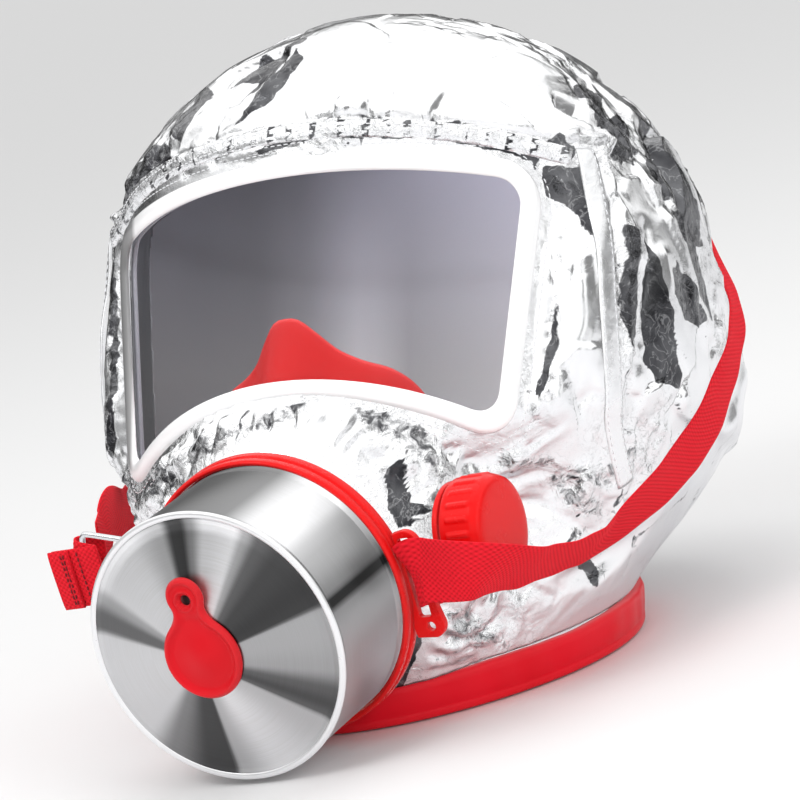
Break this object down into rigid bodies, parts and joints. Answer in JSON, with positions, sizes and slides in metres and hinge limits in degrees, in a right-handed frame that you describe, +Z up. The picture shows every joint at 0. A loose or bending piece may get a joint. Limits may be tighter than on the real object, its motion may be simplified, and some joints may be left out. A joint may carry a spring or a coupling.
{
  "type": "smoke hood",
  "caption": "Fire escape hood: reflective fabric hood with curved window, inner half mask, screw-in steel filter canister, side exhalation valve, head strap and neck collar.",
  "frame": {"origin": "front-centre point of the collar's lower face, midway through the collar wall, on the plane the hood stands on", "axes": "+Z up, -Y forward along the way the canister points, +X towards the wearer's left"},
  "size_m": [0.2613, 0.3538, 0.2621],
  "materials": {
    "foil_fabric": "crinkled aluminised reflective fabric, near white with dark reflected creases",
    "foil_tape": "smooth silvered seam tape with stitching",
    "bezel": "smooth silver-white bevelled plastic",
    "window": "smoke-grey reflective clear plastic sheet",
    "inner_plastic": "moulded dark grey plastic",
    "red_collar": "soft bright red elastic collar, satin",
    "elastic": "knitted elastic band",
    "red_silicone": "smooth satin red silicone",
    "red_rubber": "moulded red rubber",
    "black_rubber": "matt black rubber",
    "red_plastic": "moulded bright red plastic",
    "red_webbing": "woven red polyester webbing",
    "brushed_steel": "brushed stainless steel",
    "spun_steel": "turned stainless steel with circular grain",
    "wire": "bright drawn wire",
    "filter_paper": "pleated filter paper",
    "felt": "white needled felt",
    "desiccant": "packed pale grains",
    "catalyst": "packed dark brown grains",
    "carbon": "packed black carbon grains",
    "clear_silicone": "thin translucent silicone"
  },
  "bodies": {
    "root": {"hood_shell": "foil_fabric", "side_welt_left": "foil_tape", "side_welt_right": "foil_tape", "brow_welt": "foil_tape", "window_frame": "bezel", "window_lens": "window", "window_backing_frame": "inner_plastic", "neck_collar": "red_collar", "neck_elastic": "elastic", "half_mask": "red_silicone", "mask_connector": "inner_plastic", "mask_gasket": "black_rubber", "connector_nut": "inner_plastic", "strap_ring": "red_plastic", "valve_housing": "red_plastic", "valve_seat": "inner_plastic", "head_strap": "red_webbing"},
    "gasket": {"canister_gasket": "black_rubber"},
    "canister": {"canister_shell": "brushed_steel", "end_cover": "spun_steel", "base_plate": "brushed_steel", "front_screen": "brushed_steel", "particulate_filter": "filter_paper", "felt_pad_front": "felt", "desiccant_bed": "desiccant", "catalyst_bed": "catalyst", "carbon_bed": "carbon", "felt_pad_rear": "felt", "rear_screen": "brushed_steel", "bed_spring": "brushed_steel"},
    "front_plug": {"front_plug": "red_rubber"},
    "rear_plug": {"rear_plug": "red_rubber"},
    "exhale_flap": {"exhale_flap": "clear_silicone"},
    "valve_cap": {"valve_cap": "red_plastic"},
    "bail": {"strap_bail": "wire", "strap_fold": "red_webbing"},
    "tail": {"strap_tail": "red_webbing"}
  },
  "joints": [
    {"name": "canister_draw", "type": "slide", "parent": "root", "child": "gasket", "axis": [0, -0.9943, -0.1063], "range_m": [0, 0.0109]},
    {"name": "canister_turn", "type": "hinge", "parent": "gasket", "child": "canister", "pos_m": [0, -0.066, 0.0557], "axis": [0, -0.9943, -0.1063], "range_deg": [0, 1080]},
    {"name": "front_plug_pull", "type": "slide", "parent": "canister", "child": "front_plug", "axis": [0, -0.9943, -0.1063], "range_m": [0, 0.045]},
    {"name": "rear_plug_pull", "type": "slide", "parent": "canister", "child": "rear_plug", "axis": [0, 0.9943, 0.1063], "range_m": [0, 0.028]},
    {"name": "exhale_flap_lift", "type": "slide", "parent": "root", "child": "exhale_flap", "axis": [1, 0, 0], "range_m": [0, 0.0018]},
    {"name": "valve_cap_twist", "type": "hinge", "parent": "root", "child": "valve_cap", "pos_m": [0.08, 0.012, 0.071], "axis": [1, 0, 0], "range_deg": [0, 40]},
    {"name": "bail_swing", "type": "hinge", "parent": "root", "child": "bail", "pos_m": [-0.06201, -0.01526, 0.07783], "axis": [-0.2588, 0.1026, -0.9605], "range_deg": [-12, 12]},
    {"name": "strap_tail_pull", "type": "slide", "parent": "bail", "child": "tail", "axis": [-0.9998, 0.0019, -0.0174], "range_m": [0, 0.02]}
  ],
  "couplings": [
    {"joint": "canister_draw", "follows": "canister_turn", "m_per_rad": 0.00057757}
  ]
}
